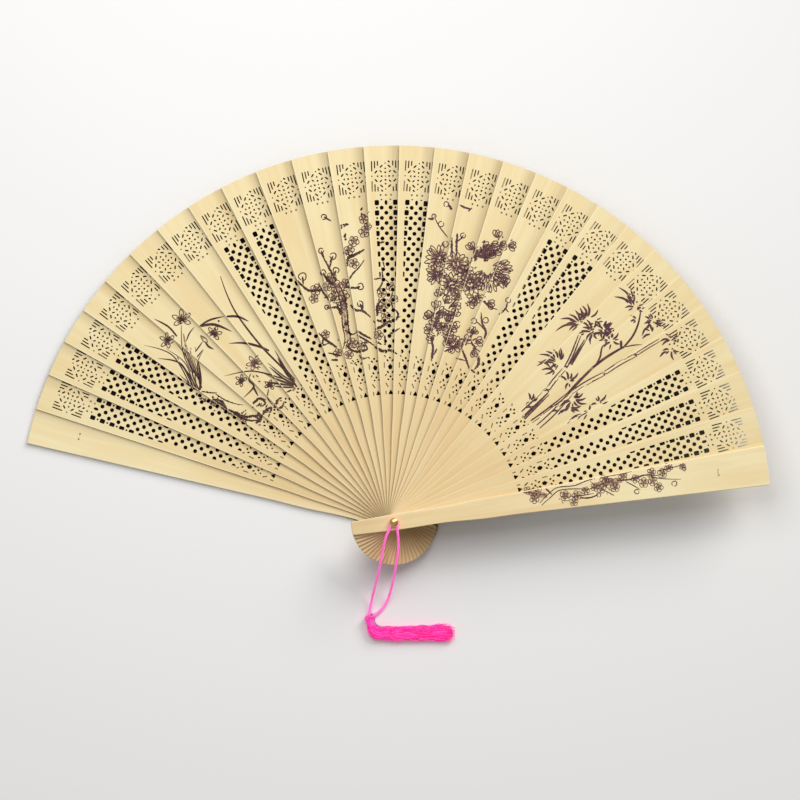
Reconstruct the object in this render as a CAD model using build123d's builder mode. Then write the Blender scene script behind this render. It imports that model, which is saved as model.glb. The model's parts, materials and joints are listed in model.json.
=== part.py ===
from build123d import *
import math
import os

# A pierced wooden folding fan, open and lying on its back guard, in millimetres.
# Z is the rivet's axis, and z = 0 is the back guard's rear face. Y runs up the middle of the
# open fan. The back guard is at the left and lowest. Each leaf lies on its left neighbour, up to
# the front guard, which is at the right and on top. A cord looped round the rivet's neck hangs
# over the tails to a tassel that lies beside the fan, on the surface the fan lies on.

os.makedirs("parts", exist_ok=True)

# --- driving dimensions
LEAVES = 27
OPENING = 156.2  # degrees between the centre lines of the two guards
UNEVEN = 0.95  # degrees: the leaves past the seventh gather a little, first one way, then the other
EVEN_LEAVES = 7
RADIUS = 179.5  # pivot to rim
TAIL = 20.5  # pivot to the end of the tails
LEAF_THICKNESS = 0.55
GUARD_THICKNESS = 1.5
SLIDING_GAP = 0.15  # between neighbouring sticks
GUARD_EDGE = 0.25  # bevel round a guard's outer face
CORNER = 0.7  # rounding of a stick's corners

# half widths of a stick at distances from the pivot: the tail runs straight from the first to the
# second, the neck is a smooth curve through the others, and the blade runs straight to the rim
LEAF_NECK = [(-TAIL, 2.9), (0, 3.1), (28, 3.4), (42, 4.05), (52, 4.25), (62, 4.8)]
LEAF_RIM_HALF = 10.1
GUARD_NECK = [(-TAIL, 3.2), (0, 3.85), (20, 3.8), (30, 4.1), (41, 4.8), (51, 5.0), (62, 5.2)]
GUARD_RIM_HALF = 9.5

# --- rivet
PIN_RADIUS = 0.9
RUNNING_CLEARANCE = 0.07
REAR_HEAD_RADIUS = 2.2
REAR_HEAD_THICKNESS = 0.5
REAR_RECESS_CLEARANCE = 0.1
WASHER_RADIUS = 2.2
WASHER_THICKNESS = 0.3
DOME_RADIUS = 2.1
DOME_HEIGHT = 1.2
DOME_SOCKET = 0.6

# --- piercings
LATTICE_LEAVES = (1, 2, 3, 8, 9, 13, 14, 19, 20, 25, 26, 27)
MEDALLION = 165.0  # pivot to the centre of the medallion
TIE_ROW = 156.0  # pivot to the row of holes that the binding thread goes through
TIE_HOLE_RADIUS = 0.47
GUARD_TIE_OFFSET = 1.25
GUARD_TIE_RADIUS = 0.4
LATTICE_TOP = 152.4
LATTICE_PITCH = 2.45
LATTICE_ROWS = 30
LATTICE_HOLE_RADIUS = 0.97
LATTICE_DOT_RADIUS = 0.47
LATTICE_COLUMN = 2.15  # from the centre line to the inner columns
LATTICE_EDGE_COLUMN = 4.4
LATTICE_MARGIN = 3.2  # plain wood left beside the lattice
SLIVER = 0.6  # a hole narrower than this is left out

# --- cord and tassel
CORD_DIAMETER = 1.3
CORD_CLEARANCE = 0.05
KNOT_RADIUS = 2.2
KNOT_CENTRE = (-9.2, -47.4, KNOT_RADIUS)
KNOT_BITE = 0.4  # how far the wrap's end sits inside the knot
WRAP_RADIUS = 2.0
WRAP_LENGTH = 1.6
SKIRT_WIDTH = 5.6
SKIRT_HEIGHT = 4.2
SKIRT_BEND = 3.6
SKIRT_CORNER = (-6.5, -53.9)
SKIRT_END = (30.5, -51.5)

# --- derived sizes
LEAF_PITCH = LEAF_THICKNESS + SLIDING_GAP
STICK_ANGLE = OPENING / (LEAVES + 1)
FIRST_LEAF_Z = GUARD_THICKNESS + SLIDING_GAP
FRONT_GUARD_Z = FIRST_LEAF_Z + LEAVES * LEAF_PITCH
TOP = FRONT_GUARD_Z + GUARD_THICKNESS
WASHER_TOP = TOP + WASHER_THICKNESS
CORD_Z = WASHER_TOP + CORD_CLEARANCE + CORD_DIAMETER / 2
DOME_Z = WASHER_TOP + CORD_DIAMETER + 2 * CORD_CLEARANCE
CORD_LOOP_RADIUS = PIN_RADIUS + CORD_CLEARANCE + CORD_DIAMETER / 2
SKIRT_Z = SKIRT_HEIGHT / 2

# routes of the two strands, from the rivet's neck over the tails and down to the knot
LEFT_ROUTE = [
    (-CORD_LOOP_RADIUS, 0, CORD_Z),
    (-CORD_LOOP_RADIUS, -3.0, CORD_Z),
    (-3.4, -6.2, CORD_Z),
    (-4.3, -11.2, 21.0),
    (-5.0, -16.4, 18.4),
    (-5.6, -21.4, 15.4),
    (-6.5, -26.6, 11.0),
    (-7.4, -31.6, 6.8),
    (-8.3, -36.4, 3.2),
    (-9.1, -41.0, 1.4),
    (-9.5, -45.6, 1.6),
]
RIGHT_ROUTE = [
    (CORD_LOOP_RADIUS, 0, CORD_Z),
    (CORD_LOOP_RADIUS, -3.2, CORD_Z),
    (2.4, -7.2, 22.2),
    (2.7, -12.4, 19.4),
    (2.3, -17.6, 16.2),
    (1.8, -22.6, 12.6),
    (1.2, -27.6, 8.6),
    (0.4, -32.4, 4.8),
    (-0.7, -37.0, 2.0),
    (-2.4, -41.0, 1.0),
    (-4.9, -44.0, 1.0),
    (-7.9, -46.3, 1.6),
]


def finish(part, name):
    """Label a finished piece and write its STEP file."""
    part.label = name
    export_step(part, f"parts/{name}.step")


def stick_turn(place):
    """Degrees from a stick's centre line to the back guard's, which is place 0."""
    wave = max(0, place - EVEN_LEAVES) / (LEAVES + 1 - EVEN_LEAVES)
    return place * STICK_ANGLE + UNEVEN * math.sin(2 * math.pi * wave)


def stick_plane(place, height):
    """Plane of a stick's rear face: X from the pivot to the rim, Z up."""
    angle = math.radians(90 + OPENING / 2 - stick_turn(place))
    return Plane(origin=(0, 0, height), x_dir=(math.cos(angle), math.sin(angle), 0), z_dir=(0, 0, 1))


def leaf_height(number):
    """Height of a leaf's rear face."""
    return FIRST_LEAF_Z + (number - 1) * LEAF_PITCH


def leaf_half_width(distance):
    """Half the width of a leaf's blade at a distance from the pivot."""
    start, start_half = LEAF_NECK[-1]
    end = math.sqrt(RADIUS**2 - LEAF_RIM_HALF**2)
    return start_half + (LEAF_RIM_HALF - start_half) * (distance - start) / (end - start)


def rim_arc(radius, half_width, side):
    """Arc about the pivot from a stick's corner to its centre line, on the side +1 or -1 along X."""
    turn = math.asin(half_width / radius)
    points = [
        (side * radius * math.cos(share * turn), radius * math.sin(share * turn))
        for share in (1, 0.5, 0)
    ]
    ThreePointArc(*points)


def stick_outline(neck, rim_half):
    """Flat outline of a stick, in its own plane."""
    tail_half = neck[0][1]
    tail_corner = (-math.sqrt(TAIL**2 - tail_half**2), tail_half)
    rim_corner = (math.sqrt(RADIUS**2 - rim_half**2), rim_half)
    tail_way = Vector(*neck[1]) - Vector(*tail_corner)
    blade_way = Vector(*rim_corner) - Vector(*neck[-1])
    with BuildSketch() as outline:
        with BuildLine():
            rim_arc(TAIL, tail_half, -1)
            Line(tail_corner, neck[1])
            Spline(*neck[1:], tangents=(tail_way.normalized(), blade_way.normalized()))
            Line(neck[-1], rim_corner)
            rim_arc(RADIUS, rim_half, 1)
            mirror(about=Plane.XZ)
        make_face()
        corners = outline.vertices().filter_by(lambda v: abs(v.Y) > 1 and not -1 < v.X < RADIUS * 0.9)
        fillet(corners, radius=CORNER)
    return outline.sketch


def slits(places, length, width, angle=0.0):
    """Round-ended slits in all four quarters, leaning the opposite way in neighbouring ones."""
    quarters = [
        Location((side_u * u, side_v * v, 0), (0, 0, side_u * side_v * angle))
        for u, v in places
        for side_u in (1, -1)
        for side_v in (1, -1)
    ]
    with Locations(*quarters):
        SlotOverall(length, width)


def paired_slits(u, v, length, width, angle=0.0):
    """Two round-ended slits, mirror images across the stick's centre line."""
    with Locations(Location((u, v, 0), (0, 0, angle)), Location((u, -v, 0), (0, 0, -angle))):
        SlotOverall(length, width)


def dots(places, radius):
    """Round holes."""
    with Locations(*places):
        Circle(radius)


def medallion_holes():
    """The square medallion near the rim: a ringed flower in a lozenge, with slits in its corners."""
    with BuildSketch() as holes:
        Circle(0.3)
        with PolarLocations(1.8, 4):
            RectangleRounded(0.85, 0.85, 0.2)
        with PolarLocations(3.8, 4):
            Polygon((-0.45, -0.6), (-0.45, 0.6), (0.5, 0), align=None)
        slits([(2.3, 2.2)], 1.4, 0.62, 45)
        slits([(4.7, 1.9), (2.05, 4.45)], 1.8, 0.7, -45)
        dots([(6.2, 0), (-6.2, 0), (0, 6.4), (0, -6.4)], 0.33)
        with Locations(Location((6.9, -1.75, 0), (0, 0, 45)), Location((-6.9, 1.75, 0), (0, 0, 45))):
            SlotOverall(1.25, 0.75)
        for across, inner in ((6.45, 2.3), (5.05, 3.75), (3.65, 4.95)):
            outer = 7.35
            slits([((outer + inner) / 2, across)], outer - inner, 0.58)
    return holes.sketch


def lower_ornament_holes():
    """The pierced ornament below the middle of a leaf, in the leaf's own plane."""
    with BuildSketch() as holes:
        dots([(78.3, 0), (69.4, 0)], 0.5)
        dots([(68.0, 1.05), (68.0, -1.05)], 0.43)
        paired_slits(79.1, 2.4, 1.3, 0.65, 35)
        paired_slits(77.1, 1.2, 1.25, 0.75, 35)
        paired_slits(74.8, 2.75, 2.7, 0.5)
        paired_slits(71.5, 1.15, 1.3, 0.75, 30)
        paired_slits(70.1, 2.15, 1.2, 0.65, -35)
        paired_slits(65.4, 1.75, 2.3, 0.6, 30)
        paired_slits(61.7, 2.25, 1.8, 0.5)
        Polygon((75.5, 0), (74.2, 1.15), (72.8, 0.55), (72.8, -0.55), (74.2, -1.15), align=None)
        Polygon((63.2, 0), (61.3, 1.05), (60.9, 0.9), (60.9, -0.9), (61.3, -1.05), align=None)
    return holes.sketch


def lattice_holes():
    """The mesh of round holes that fills a leaf's middle, cut off along straight side margins."""
    rows = [LATTICE_TOP - row * LATTICE_PITCH for row in range(LATTICE_ROWS)]
    bottom = rows[-1] - LATTICE_PITCH
    top = LATTICE_TOP + LATTICE_PITCH
    top_half = leaf_half_width(top) - LATTICE_MARGIN
    bottom_half = leaf_half_width(bottom) - LATTICE_MARGIN
    square = 2 * LATTICE_HOLE_RADIUS + 0.6
    edge_inner = LATTICE_EDGE_COLUMN - LATTICE_HOLE_RADIUS
    with BuildSketch() as holes:
        for row, distance in enumerate(rows):
            half = leaf_half_width(distance) - LATTICE_MARGIN
            if row % 2:
                dots([(distance, LATTICE_COLUMN), (distance, -LATTICE_COLUMN)], LATTICE_HOLE_RADIUS)
                if half > LATTICE_EDGE_COLUMN + LATTICE_DOT_RADIUS:
                    edge = [(distance, LATTICE_EDGE_COLUMN), (distance, -LATTICE_EDGE_COLUMN)]
                    dots(edge, LATTICE_DOT_RADIUS)
                continue
            if row:
                dots([(distance, 0)], LATTICE_HOLE_RADIUS)
            else:
                with Locations((distance, 0)):
                    Ellipse(1.2, 0.7)
            if half - edge_inner > SLIVER:
                with Locations((distance, LATTICE_EDGE_COLUMN), (distance, -LATTICE_EDGE_COLUMN)):
                    RectangleRounded(square, 2 * LATTICE_HOLE_RADIUS + 0.2, 0.6)
        Polygon((bottom, -bottom_half), (top, -top_half), (top, top_half), (bottom, bottom_half),
                align=None, mode=Mode.INTERSECT)
        with Locations((LATTICE_TOP + 1.35, LATTICE_COLUMN), (LATTICE_TOP + 1.35, -LATTICE_COLUMN)):
            Polygon((0.35, -0.6), (0.35, 0.6), (-0.4, 0), align=None)
    return holes.sketch


def leaf_profile(lattice):
    """Flat pierced leaf, in its own plane."""
    with BuildSketch() as profile:
        add(stick_outline(LEAF_NECK, LEAF_RIM_HALF))
        Circle(PIN_RADIUS + RUNNING_CLEARANCE, mode=Mode.SUBTRACT)
        with Locations((TIE_ROW, 2.5), (TIE_ROW, 0), (TIE_ROW, -2.5)):
            Circle(TIE_HOLE_RADIUS, mode=Mode.SUBTRACT)
        with Locations((MEDALLION, 0)):
            add(medallion_holes(), mode=Mode.SUBTRACT)
        add(lower_ornament_holes(), mode=Mode.SUBTRACT)
        if lattice:
            add(lattice_holes(), mode=Mode.SUBTRACT)
    return profile.sketch


def make_leaves():
    """The leaves, each a step higher and a step further clockwise than the one before."""
    plain = leaf_profile(lattice=False)
    pierced = leaf_profile(lattice=True)
    for number in range(1, LEAVES + 1):
        with BuildPart() as leaf:
            with BuildSketch(stick_plane(number, leaf_height(number))):
                add(pierced if number in LATTICE_LEAVES else plain)
            extrude(amount=LEAF_THICKNESS)
        finish(leaf.part, f"leaf_{number:02d}")


def make_guards():
    """The two thick outer sticks. The back one has a recess that the rivet's rear head turns in."""
    outline = stick_outline(GUARD_NECK, GUARD_RIM_HALF)
    for name, place, height in (("back_guard", 0, 0), ("front_guard", LEAVES + 1, FRONT_GUARD_Z)):
        plane = stick_plane(place, height)
        outer_end = 0 if name == "back_guard" else -1
        with BuildPart() as guard:
            with BuildSketch(plane):
                add(outline)
            extrude(amount=GUARD_THICKNESS)
            outer_face = guard.faces().sort_by(Axis.Z)[outer_end]
            chamfer(outer_face.outer_wire().edges(), length=GUARD_EDGE)
            with BuildSketch(plane):
                Circle(PIN_RADIUS + RUNNING_CLEARANCE)
                with Locations((TIE_ROW, GUARD_TIE_OFFSET), (TIE_ROW, -GUARD_TIE_OFFSET)):
                    Circle(GUARD_TIE_RADIUS)
            extrude(amount=GUARD_THICKNESS, mode=Mode.SUBTRACT)
            if name == "back_guard":
                with BuildSketch(plane):
                    Circle(REAR_HEAD_RADIUS + REAR_RECESS_CLEARANCE)
                extrude(amount=REAR_HEAD_THICKNESS + REAR_RECESS_CLEARANCE, mode=Mode.SUBTRACT)
        finish(guard.part, name)


def make_rivet():
    """The pin with its rear head, the washer on the front guard, and the dome over the cord."""
    with BuildPart() as pin:
        with BuildSketch():
            Circle(REAR_HEAD_RADIUS)
        extrude(amount=REAR_HEAD_THICKNESS)
        with BuildSketch():
            Circle(PIN_RADIUS)
        extrude(amount=DOME_Z + DOME_SOCKET)
    finish(pin.part, "rivet_pin")

    with BuildPart() as washer:
        with BuildSketch(Plane.XY.offset(TOP)):
            Circle(WASHER_RADIUS)
            Circle(PIN_RADIUS + RUNNING_CLEARANCE, mode=Mode.SUBTRACT)
        extrude(amount=WASHER_THICKNESS)
    finish(washer.part, "rivet_washer")

    with BuildPart() as dome:
        with BuildSketch(Plane.XZ) as half_section:
            with BuildLine():
                crown = DOME_Z + DOME_HEIGHT
                rim = DOME_Z + 0.25
                socket = DOME_Z + DOME_SOCKET
                Polyline((0, crown), (0, socket), (PIN_RADIUS, socket), (PIN_RADIUS, DOME_Z))
                Polyline((PIN_RADIUS, DOME_Z), (DOME_RADIUS, DOME_Z), (DOME_RADIUS, rim))
                TangentArc((0, crown), (DOME_RADIUS, rim), tangent=(1, 0))
            make_face()
        revolve(axis=Axis.Z)
    finish(dome.part, "rivet_dome")


def fillet_radii(route):
    """Radius of the arc at each corner of a route: 0.45 of the shorter run over the half turn."""
    points = [Vector(*point) for point in route]
    radii = []
    for before, corner, after in zip(points, points[1:], points[2:]):
        half_turn = math.radians((corner - before).get_angle(after - corner)) / 2
        shorter = min((corner - before).length, (after - corner).length)
        radii.append(0.45 * shorter / math.tan(half_turn))
    return radii


def make_strand(route, name):
    """One strand of the tassel's cord, as straight runs joined by tangent arcs."""
    radii = fillet_radii(route)
    with BuildPart() as strand:
        with BuildLine():
            path = FilletPolyline(*route, radius=radii)
        with BuildSketch(Plane(origin=path @ 0, z_dir=path % 0)):
            Circle(CORD_DIAMETER / 2)
        sweep()
    length = path.length
    share = strand.part.volume / (length * math.pi * CORD_DIAMETER**2 / 4)
    print(f"{name}: length {length:.2f}, volume over section times length {share:.4f}")
    print("  radii " + ", ".join(f"{radius:.1f}" for radius in radii))
    finish(strand.part, name)


def make_cord_loop():
    """The bight of the cord, half way round the rivet's neck."""
    with BuildPart() as loop:
        with BuildLine():
            CenterArc((0, 0, CORD_Z), CORD_LOOP_RADIUS, start_angle=0, arc_size=180)
        with BuildSketch(Plane(origin=(CORD_LOOP_RADIUS, 0, CORD_Z), z_dir=(0, 1, 0))):
            Circle(CORD_DIAMETER / 2)
        sweep()
    finish(loop.part, "cord_loop")


def make_tassel():
    """The knot that joins the strands, the wrap under it, and the skirt lying on the surface."""
    skirt_corner = Vector(*SKIRT_CORNER, SKIRT_Z)
    under_knot = Vector(KNOT_CENTRE[0], KNOT_CENTRE[1], SKIRT_Z)
    with BuildPart() as knot:
        with Locations(KNOT_CENTRE):
            Sphere(KNOT_RADIUS)
    finish(knot.part, "tassel_knot")

    wrap_way = (skirt_corner - under_knot).normalized()
    wrap_start = under_knot + wrap_way * (KNOT_RADIUS - KNOT_BITE)
    wrap_end = wrap_start + wrap_way * (WRAP_LENGTH + KNOT_BITE)
    with BuildPart() as wrap:
        with BuildSketch(Plane(origin=wrap_start, z_dir=wrap_way)):
            Circle(WRAP_RADIUS)
        extrude(amount=WRAP_LENGTH + KNOT_BITE)
    finish(wrap.part, "tassel_wrap")

    with BuildPart() as skirt:
        with BuildLine():
            FilletPolyline(wrap_end, skirt_corner, (*SKIRT_END, SKIRT_Z), radius=SKIRT_BEND)
        with BuildSketch(Plane(origin=wrap_end, x_dir=(0, 0, 1), z_dir=wrap_way)):
            Ellipse(SKIRT_HEIGHT / 2, SKIRT_WIDTH / 2)
        sweep()
    finish(skirt.part, "tassel_skirt")


make_leaves()
make_guards()
make_rivet()
make_cord_loop()
make_strand(LEFT_ROUTE, "tassel_cord_left")
make_strand(RIGHT_ROUTE, "tassel_cord_right")
make_tassel()
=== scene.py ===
import json
import math
import random

import bpy
from mathutils import Matrix, Vector
from mathutils.bvhtree import BVHTree


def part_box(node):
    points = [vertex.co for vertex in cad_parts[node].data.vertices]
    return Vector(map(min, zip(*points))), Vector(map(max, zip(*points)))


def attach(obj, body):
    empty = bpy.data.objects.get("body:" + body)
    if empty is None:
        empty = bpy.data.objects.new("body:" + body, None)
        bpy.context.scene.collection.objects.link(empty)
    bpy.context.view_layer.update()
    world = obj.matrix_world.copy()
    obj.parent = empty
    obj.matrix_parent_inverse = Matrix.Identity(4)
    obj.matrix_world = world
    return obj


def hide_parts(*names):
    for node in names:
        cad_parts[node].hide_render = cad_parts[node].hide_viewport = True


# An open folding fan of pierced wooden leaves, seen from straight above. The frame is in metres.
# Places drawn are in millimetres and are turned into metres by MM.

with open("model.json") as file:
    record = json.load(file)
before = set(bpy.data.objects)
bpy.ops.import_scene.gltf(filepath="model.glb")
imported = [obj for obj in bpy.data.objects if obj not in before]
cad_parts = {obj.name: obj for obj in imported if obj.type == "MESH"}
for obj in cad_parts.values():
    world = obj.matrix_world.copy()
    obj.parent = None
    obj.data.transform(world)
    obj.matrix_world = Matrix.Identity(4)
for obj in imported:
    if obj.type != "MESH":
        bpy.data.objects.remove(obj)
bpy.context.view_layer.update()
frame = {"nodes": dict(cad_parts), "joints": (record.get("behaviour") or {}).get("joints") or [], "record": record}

MM = 0.001
FOLD = next(joint for joint in frame["joints"] if joint["name"] == "fan_fold")
OPENING = math.radians(-FOLD["range_deg"][0])
STICKS = ["back_guard"] + sorted(n for n in frame["nodes"] if n.startswith("leaf_")) + ["front_guard"]
SHARES = {c["joint"]: c["ratio"] for c in frame["record"]["behaviour"]["couplings"]}
RIM = 179.5 * MM

# the straight edges of the blades: half widths at two distances from the pivot
BLADE_START, BLADE_END = 62 * MM, 179.2 * MM
LEAF_HALF = (4.8 * MM, 10.1 * MM)
GUARD_HALF = (5.2 * MM, 9.5 * MM)

FRONT_BODY = "front_guard_body"


def stick_direction(place):
    """Angle of a stick's centre line in the open fan. A leaf makes its share of the back guard's turn."""
    share = SHARES.get(STICKS[place] + "_turn", 0 if place else 1)
    return (math.pi - OPENING) / 2 + share * OPENING


def blade_half(place, distance):
    """Half the width of a stick's blade at a distance from the pivot."""
    start, end = GUARD_HALF if place in (0, len(STICKS) - 1) else LEAF_HALF
    return start + (end - start) * (distance - BLADE_START) / (BLADE_END - BLADE_START)


# --- camera, floor and lights ---------------------------------------------------------------

VIEW_TURN = math.radians(3.2)  # roll of the camera, which shows the fan turned the other way
VIEW_WIDTH = 0.3816
VIEW_CENTRE = (2.8 * MM, 58.1 * MM)  # from the pivot, across and up the picture
VIEW_LEVEL = 11 * MM  # the height at which the picture is VIEW_WIDTH wide
LENS, SENSOR = 300, 36


def in_view(across, up):
    """Model place of a point given across and up the picture from the pivot."""
    turned = Matrix.Rotation(VIEW_TURN, 2) @ Vector((across, up))
    return turned.x, turned.y


def make_camera():
    data = bpy.data.cameras.new("camera")
    data.lens = LENS
    data.sensor_width = SENSOR
    data.clip_end = 20
    camera = bpy.data.objects.new("camera", data)
    camera.location = (*in_view(*VIEW_CENTRE), VIEW_LEVEL + VIEW_WIDTH * LENS / SENSOR)
    camera.rotation_euler = (0, 0, VIEW_TURN)
    bpy.context.scene.collection.objects.link(camera)
    bpy.context.scene.camera = camera


def make_light(name, azimuth, elevation, distance, size, level, colour):
    """A square softbox that faces the middle of the fan. Azimuth is that in the picture, and the
    level is how bright a white floor would be there."""
    data = bpy.data.lights.new(name, "AREA")
    data.size = size
    data.energy = level * (math.pi * distance) ** 2 / math.sin(math.radians(elevation))
    data.color = colour
    light = bpy.data.objects.new(name, data)
    target = Vector((0, 80 * MM, 0))
    turn, rise = math.radians(azimuth) + VIEW_TURN, math.radians(elevation)
    way = Vector((math.cos(turn) * math.cos(rise), math.sin(turn) * math.cos(rise), math.sin(rise)))
    light.location = target + way * distance
    light.rotation_euler = (-way).to_track_quat("-Z", "Y").to_euler()
    bpy.context.scene.collection.objects.link(light)


FLOOR_SIZE = 12
FLOOR_LEVEL = -0.05 * MM
# the floor's own pale colour, and the colour of the painted shade it takes where the fan covers it
FLOOR_OPEN, FLOOR_PAINTED_SHADE = (0.92, 0.92, 0.92, 1), (0.02, 0.017, 0.014, 1)
ROOM_COLOUR, ROOM_LIGHT = (1.0, 0.99, 0.97, 1), 0.31
AIR_DISTANCE = 70 * MM  # how far off the fan still closes the floor in
AIR_UNDER, AIR_OPEN = 0.34, 0.52  # shares of open air where the floor is dark and where it is pale


def make_stage():
    """The floor, the softboxes and the even light of the room. The floor is pale in the open and has
    painted shade where the fan covers it, so that the piercings stand out."""
    bpy.ops.mesh.primitive_plane_add(size=FLOOR_SIZE, location=(0, 0, FLOOR_LEVEL))
    floor = bpy.context.object
    floor.name = "floor"
    material, nodes, shader = new_material("floor_paper")
    air = nodes.add("AmbientOcclusion", {"Distance": AIR_DISTANCE}, samples=32).outputs["AO"]
    # painted shade: the floor goes dark where the fan closes off the open air above it
    colour = nodes.mix(nodes.ramp(air, AIR_UNDER, AIR_OPEN), FLOOR_PAINTED_SHADE, FLOOR_OPEN)
    nodes.fill(shader, {"Base Color": colour, "Roughness": 0.9})
    floor.data.materials.append(material)
    make_light("key", 52, 30, 4.5, 2.2, 0.35, (1.0, 0.975, 0.94))
    make_light("fill", 108, 62, 0.62, 0.45, 0.40, (0.99, 0.99, 1.0))
    world = bpy.data.worlds.new("room")
    world.use_nodes = True
    background = world.node_tree.nodes["Background"]
    background.inputs["Color"].default_value = ROOM_COLOUR
    background.inputs["Strength"].default_value = ROOM_LIGHT
    bpy.context.scene.world = world
    bpy.context.scene.view_settings.view_transform = "Standard"


# --- materials ------------------------------------------------------------------------------


def linear(red, green, blue):
    """Linear colour from the usual 0 to 255 values."""
    channels = [value / 255 for value in (red, green, blue)]
    return tuple(c / 12.92 if c <= 0.04045 else ((c + 0.055) / 1.055) ** 2.4 for c in channels) + (1,)


def new_material(name):
    """A material, the shorthand for its nodes, and its shader."""
    material = bpy.data.materials.new(name)
    material.use_nodes = True
    tree = material.node_tree
    return material, Nodes(tree), tree.nodes["Principled BSDF"]


class Nodes:
    """Shorthand for adding linked shader nodes. An input is a value or another node's output."""

    def __init__(self, tree):
        self.tree = tree

    def add(self, kind, inputs=None, **settings):
        made = self.tree.nodes.new("ShaderNode" + kind)
        for key, value in settings.items():
            setattr(made, key, value)
        self.fill(made, inputs or {})
        return made

    def fill(self, node, inputs):
        for key, value in inputs.items():
            if isinstance(value, bpy.types.NodeSocket):
                self.tree.links.new(value, node.inputs[key])
            else:
                node.inputs[key].default_value = value

    def math(self, operation, *values):
        inputs = dict(enumerate(values))
        return self.add("Math", inputs, operation=operation).outputs[0]

    def times(self, first, second):
        return self.math("MULTIPLY", first, second)

    def noise(self, vector, scale, detail=2.0, roughness=0.5, distortion=0.0):
        settings = {"Vector": vector, "Scale": scale, "Detail": detail, "Roughness": roughness,
                    "Distortion": distortion}
        return self.add("TexNoise", settings).outputs["Fac"]

    def ramp(self, value, low, high):
        """0 below low, 1 above high and a smooth rise between."""
        inputs = {"Value": value, "From Min": low, "From Max": high}
        return self.add("MapRange", inputs, interpolation_type="SMOOTHSTEP").outputs["Result"]

    def mix(self, share, first, second, blend="MIX"):
        inputs = {"Factor": share, 6: first, 7: second}
        return self.add("Mix", inputs, data_type="RGBA", blend_type=blend).outputs[2]

    def bump(self, height, strength, distance):
        inputs = {"Height": height, "Strength": strength, "Distance": distance}
        return self.add("Bump", inputs).outputs["Normal"]


LEAF_LIGHT, LEAF_DARK = linear(246, 229, 181), linear(240, 217, 164)
GUARD_LIGHT, GUARD_DARK = linear(251, 237, 191), linear(245, 223, 172)
PORE = linear(196, 158, 104)
CUT_SHARE = 0.35  # of the pores' colour on an edge that isn't scorched
BURNT, SOOT = linear(92, 58, 28), linear(58, 34, 18)
# painted shade over the tails, darker towards their ends
TAIL_SHADE_COLOUR = linear(196, 144, 106)
TAIL_SHADE_SHARE, TAIL_SHADE_FRONT = 0.24, 0.2  # on the leaves and the back guard, on the front guard
TAIL_SHADE_REACH = 15 * MM
# painted highlight along each stick's own edge, where the edge would catch the light
EDGE_HIGHLIGHT_COLOUR = linear(255, 246, 212)
EDGE_HIGHLIGHT_SHARE = 0.45
EDGE_HIGHLIGHT_INNER, EDGE_HIGHLIGHT_OUTER = 0.9 * MM, 0.2 * MM  # from the stick's edge
NECK_HALF = 3.2 * MM
# painted shade: the sticks grow darker and warmer towards the pivot, where they lie over each other
NECK_SHADE_TINT = (0.93, 0.86, 0.80, 1)
NECK_SHADE_START, NECK_SHADE_FULL = 120 * MM, 35 * MM  # from the pivot
# painted shade beside the next stick's edge: the colour it multiplies by, its reach and its depth
EDGE_SHADE_COLOUR = (0.16, 0.09, 0.05, 1)
EDGE_REACH = 0.04  # of the distance from the pivot
EDGE_LEAST, EDGE_RISE, EDGE_FALL = 0.05, 0.30, 0.14
# painted shade beside the next stick's edge on the tails: its half width, reach and depth
TAIL_HALF = 2.95 * MM
TAIL_REACH = 1.1 * MM
TAIL_EDGE_SHADE = 0.38
PIERCED_START, PIERCED_END = 50 * MM, 175 * MM  # from the pivot
PIERCED_HALF = 0.8  # of the blade's half width


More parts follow.
